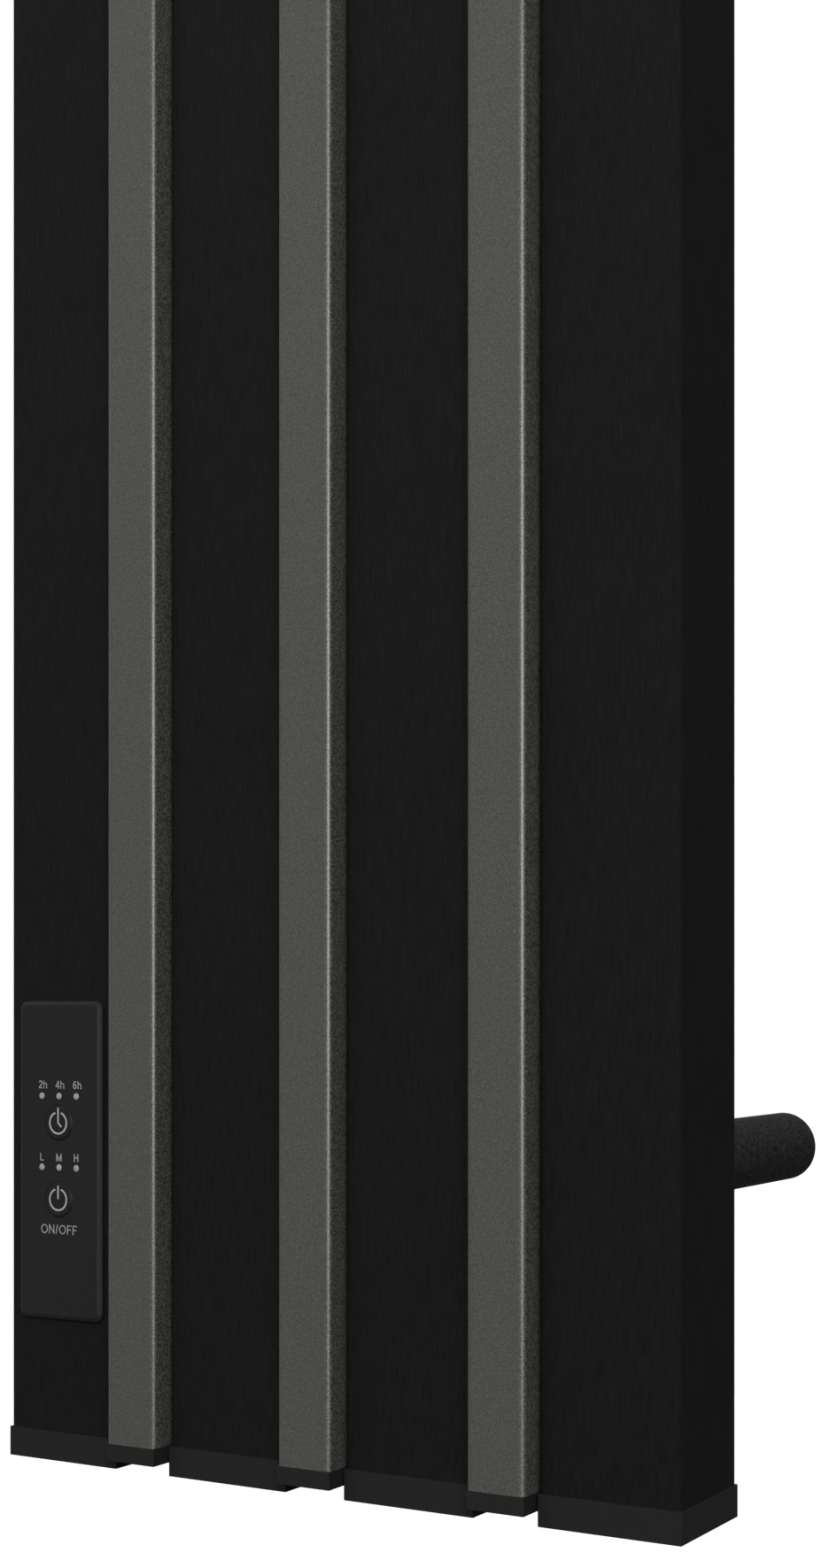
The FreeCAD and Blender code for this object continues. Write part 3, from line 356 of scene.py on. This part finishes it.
def stroke(sheet, points, width, front):
    line = [Vector(p) for p in points]
    sides = []
    for k in range(len(line)):
        before = (line[max(k, 1)] - line[max(k, 1) - 1]).normalized()
        after = (line[k + 1] - line[k]).normalized() if k + 1 < len(line) else before
        ahead = (before + after).normalized()
        sides.append(Vector((-ahead.y, ahead.x)) * width / 2 / ahead.dot(before))
    corners = ((1, -1), (-1, -1), (-1, 1), (1, 1))    # of the section: across the stroke, through the face
    rows = []
    for point, side in zip(line, sides):
        row = []
        for edge, depth in corners:
            across, up = point + edge * side
            row.append(sheet.verts.new(front + Vector((across, depth * marks["rise"], up)) * mm))
        rows.append(row)
    for row, after in zip(rows, rows[1:]):
        for k in range(len(corners)):
            turn = (k + 1) % len(corners)
            sheet.faces.new((row[k], row[turn], after[turn], after[k]))
    sheet.faces.new(rows[0])
    sheet.faces.new(rows[-1])


def printed(name, sheet, body):
    mesh = bpy.data.meshes.new(name)
    sheet.to_mesh(mesh)
    sheet.free()
    piece = keepMesh(name, mesh, markInk)
    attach(piece, body)


# Letters: width and strokes, in letter heights. Words: text, height above the plate's lower edge, place
# across, letter height and width, in mm.
lettering = {
    "stroke": 0.33, "gap": 0.16,
    "letters": {
        "L": (0.58, [[(0.07, 0), (0.07, 1)], [(0, 0.07), (0.58, 0.07)]]),
        "M": (0.92, [[(0.07, 0), (0.07, 1)], [(0.07, 0.96), (0.46, 0.04)], [(0.46, 0.04), (0.85, 0.96)],
                     [(0.85, 0), (0.85, 1)]]),
        "H": (0.78, [[(0.07, 0), (0.07, 1)], [(0.71, 0), (0.71, 1)], [(0.07, 0.53), (0.71, 0.53)]]),
        "N": (0.78, [[(0.07, 0), (0.07, 1)], [(0.07, 0.96), (0.71, 0.04)], [(0.71, 0), (0.71, 1)]]),
        "F": (0.62, [[(0.07, 0), (0.07, 1)], [(0.07, 0.93), (0.62, 0.93)], [(0.07, 0.5), (0.54, 0.5)]]),
        "O": (0.98, [arc((0.49, 0.5), (0.42, 0.43), 0, 360)]),
        "/": (0.36, [[(0.05, 0), (0.31, 1)]]),
        "h": (0.62, [[(0.07, 0), (0.07, 1)], arc((0.31, 0.44), (0.24, 0.22), 180, 0) + [(0.55, 0)]]),
        "2": (0.62, [arc((0.31, 0.69), (0.24, 0.24), 165, -40) + [(0.07, 0.09)],
                     [(0.02, 0.07), (0.6, 0.07)]]),
        "4": (0.66, [[(0.47, 0), (0.47, 1)], [(0.47, 0.96), (0.06, 0.31)], [(0.01, 0.27), (0.65, 0.27)]]),
        "6": (0.62, [arc((0.31, 0.32), (0.24, 0.25), 0, 360), arc((0.37, 0.4), (0.3, 0.53), 60, 185)]),
    },
    "words": [
        ("2h", 89.8, -7.9, 3.05, 4.1), ("4h", 89.8, 0.5, 3.05, 4.2), ("6h", 89.8, 8.9, 3.05, 4.1),
        ("L", 62.0, -8.4, 3.0, 1.6), ("M", 62.0, 0.0, 3.0, 2.6), ("H", 62.0, 8.4, 3.0, 2.1),
        ("ON/OFF", 34.45, 0.0, 3.6, 17.6),
    ],
}


def panelLettering():
    sheet = bmesh.new()
    for text, up, across, height, width in lettering["words"]:
        shapes = [lettering["letters"][letter] for letter in text]
        whole = sum(wide for wide, strokes in shapes) + lettering["gap"] * (len(shapes) - 1)
        corner = onPlate(up - height / 2, across - width / 2)
        left = 0.0
        for wide, strokes in shapes:
            for points in strokes:
                placed = [((left + u) * width / whole, v * height) for u, v in points]
                stroke(sheet, placed, lettering["stroke"], corner)
            left += wide + lettering["gap"]
    printed("panel_lettering", sheet, "frame")


panelLettering()
print("lettering made")

# Button signs, in mm from the button's middle: an open ring each, a clock's hands and a power stroke.
signs = {
    "stroke": 0.66, "ringRadius": 4.08, "ringGap": 20.0,
    "timer_button": [[(0, 5.8), (0, 0)], [(-0.25, 0.25), (1.6, -1.5)]],
    "power_button": [[(0, 5.3), (0, 0.2)]],
}


def buttonSign(body):
    low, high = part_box(body)
    middle = Vector(((low.x + high.x) / 2, low.y, (low.z + high.z) / 2))
    sheet = bmesh.new()
    radius = signs["ringRadius"]
    ring = arc((0, 0), (radius, radius), 90 - signs["ringGap"], signs["ringGap"] - 270)
    for points in [ring] + signs[body]:
        stroke(sheet, points, signs["stroke"], middle)
    printed(body + "_sign", sheet, body)


for body in ("timer_button", "power_button"):
    buttonSign(body)
print("button signs made")

# Cable gland: grip ribs round the dome, their middle measured from its rear end, in mm.
gland = {"ribs": 20, "ribWidth": 0.9, "ribRise": 0.5, "ribLength": 7.0, "ribMiddle": 5.5, "domeRadius": 6.5}


def glandRibs():
    low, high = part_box("cable_gland")
    middle = Vector(((low.x + high.x) / 2, high.y - gland["ribMiddle"] * mm, (low.z + high.z) / 2))
    values = {"Dome radius": gland["domeRadius"] * mm, "Rib count": float(gland["ribs"]),
              "Rib size": (2 * gland["ribRise"] * mm, gland["ribWidth"] * mm, gland["ribLength"] * mm),
              "Middle": tuple(middle)}
    tree, given = startTree("gland_grip_ribs", values)
    circle = addNode(tree, "GeometryNodeMeshCircle", {
        "Vertices": given["Rib count"], "Radius": given["Dome radius"]})
    rib = addNode(tree, "GeometryNodeMeshCube", {"Size": given["Rib size"]})
    spot = addNode(tree, "GeometryNodeInputPosition")
    outward = addNode(tree, "FunctionNodeAlignEulerToVector", {"Vector": spot.outputs[0]}, axis="X")
    ribs = addNode(tree, "GeometryNodeInstanceOnPoints", {
        "Points": circle.outputs["Mesh"], "Instance": rib.outputs["Mesh"], "Rotation": outward.outputs[0]})
    turned = addNode(tree, "GeometryNodeTransform", {
        "Geometry": ribs.outputs[0], "Translation": given["Middle"], "Rotation": (math.pi / 2, 0, 0)})
    whole = addNode(tree, "GeometryNodeRealizeInstances", {"Geometry": turned.outputs[0]})
    done = addNode(tree, "GeometryNodeSetMaterial", {
        "Geometry": whole.outputs[0], "Material": given["Finish"]})
    addNode(tree, "NodeGroupOutput", {"Geometry": done.outputs[0]})
    return runTree("gland_grip_ribs", tree, values, glandNylon)


ribs = glandRibs()
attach(ribs, "frame")
print("gland ribs made")

# Studio: a soft white surround, a pale floor, soft lamps all round and a strip that only glints on edges.
# Each lamp: name, place, aim and size in metres, power in watts, and whether it lights matt faces.
studio = {
    "fillStrength": 0.57, "floorDrop": 0.45, "floorSize": 16.0, "floorColour": "#606060", "floorGlow": 0.97,
    "lamps": [
        ("frontSoftbox", (-0.6, -2.3, 0.2), (0.0, -0.15, -0.3), (1.0, 1.0), 6.0, True),
        ("rightSoftbox", (1.05, -1.6, 0.65), (0.0, -0.15, -0.2), (1.0, 1.0), 22.5, True),
        ("leftSoftbox", (-0.75, -0.95, 0.5), (0.0, -0.15, -0.1), (0.5, 0.5), 4.6, True),
        ("edgeStrip", (1.69, -1.39, -0.05), (0.0, -0.15, -0.05), (0.3, 1.25), 262.0, False),
        ("rearSoftbox", (0.12, 0.9, 1.2), (0.1, -0.05, -0.48), (0.6, 0.6), 12.0, True),
        ("backSoftbox", (-1.3, 2.2, 0.0), (0.0, -0.05, 0.0), (2.6, 2.6), 42.0, True),
    ],
}


def seenDirectly(tree):                               # 1 for rays that show the surround itself
    rays = addNode(tree, "ShaderNodeLightPath").outputs
    mirror = addNode(tree, "ShaderNodeMath", {
        0: rays["Is Camera Ray"], 1: rays["Is Glossy Ray"]}, operation="MAXIMUM")
    return addNode(tree, "ShaderNodeMath", {
        0: mirror.outputs[0], 1: rays["Is Transmission Ray"]}, operation="MAXIMUM").outputs[0]


def surround():
    world = bpy.data.worlds.new("white_surround")
    scene.world = world
    world.use_nodes = True
    tree = world.node_tree
    tree.nodes.clear()
    fill = addNode(tree, "ShaderNodeBackground", {"Color": (1, 1, 1, 1), "Strength": studio["fillStrength"]})
    white = addNode(tree, "ShaderNodeBackground", {"Color": (1, 1, 1, 1), "Strength": 1.0})
    mix = addNode(tree, "ShaderNodeMixShader", {
        0: seenDirectly(tree), 1: fill.outputs[0], 2: white.outputs[0]})
    addNode(tree, "ShaderNodeOutputWorld", {"Surface": mix.outputs[0]})


def paleFloor():
    half = studio["floorSize"] / 2
    level = cadBox[0][2] - studio["floorDrop"]        # the rail hangs on a wall, so the floor lies below it
    mesh = bpy.data.meshes.new("floor")
    mesh.from_pydata([(-half, -half, level), (half, -half, level), (half, half, level), (-half, half, level)],
                     [], [(0, 1, 2, 3)])
    floor = bpy.data.objects.new("floor", mesh)
    scene.collection.objects.link(floor)
    material = bpy.data.materials.new("pale_floor")
    material.use_nodes = True
    tree = material.node_tree
    tree.nodes.clear()
    matt = addNode(tree, "ShaderNodeBsdfDiffuse", {"Color": hexColour(studio["floorColour"])})
    bright = addNode(tree, "ShaderNodeMath", {
        0: seenDirectly(tree), 1: studio["floorGlow"]}, operation="MULTIPLY")
    glow = addNode(tree, "ShaderNodeEmission", {"Strength": bright.outputs[0]})
    both = addNode(tree, "ShaderNodeAddShader", {0: matt.outputs[0], 1: glow.outputs[0]})
    addNode(tree, "ShaderNodeOutputMaterial", {"Surface": both.outputs[0]})
    mesh.materials.append(material)


def softboxes():
    for name, place, aim, size, power, diffuse in studio["lamps"]:
        lamp = bpy.data.lights.new(name, "AREA")
        lamp.shape = "RECTANGLE"
        lamp.size, lamp.size_y = size
        lamp.energy = power
        holder = bpy.data.objects.new(name, lamp)
        scene.collection.objects.link(holder)
        holder.visible_diffuse = diffuse
        holder.location = place
        holder.rotation_euler = (Vector(aim) - Vector(place)).to_track_quat("-Z", "Y").to_euler()


surround()
paleFloor()
softboxes()
scene.view_settings.view_transform = "Standard"
print("studio made")

# Camera: level, about 30 degrees to the right of the front. Distances in metres, picture places in pixels,
# the sensor in mm.
view = {"right": 0.4222, "inFront": 0.6455, "up": -0.4257, "turn": 30.5557,
        "focalPixels": 2442.0, "horizonPixel": 1135.7, "pictureHeight": 1771, "sensor": 36.0, "nearest": 0.01}


def photoCamera():
    tall = view["pictureHeight"]
    camera = bpy.data.cameras.new("photo_camera")
    camera.sensor_fit = "VERTICAL"
    camera.sensor_height = view["sensor"]
    camera.lens = view["focalPixels"] * view["sensor"] / tall
    camera.shift_y = (view["horizonPixel"] - tall / 2) / tall
    camera.clip_start = view["nearest"]
    holder = bpy.data.objects.new("photo_camera", camera)
    scene.collection.objects.link(holder)
    holder.location = (view["right"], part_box("wide_bar_1")[0].y - view["inFront"], view["up"])
    holder.rotation_euler = (math.pi / 2, 0, math.radians(view["turn"]))
    scene.camera = holder


photoCamera()
print("camera placed")
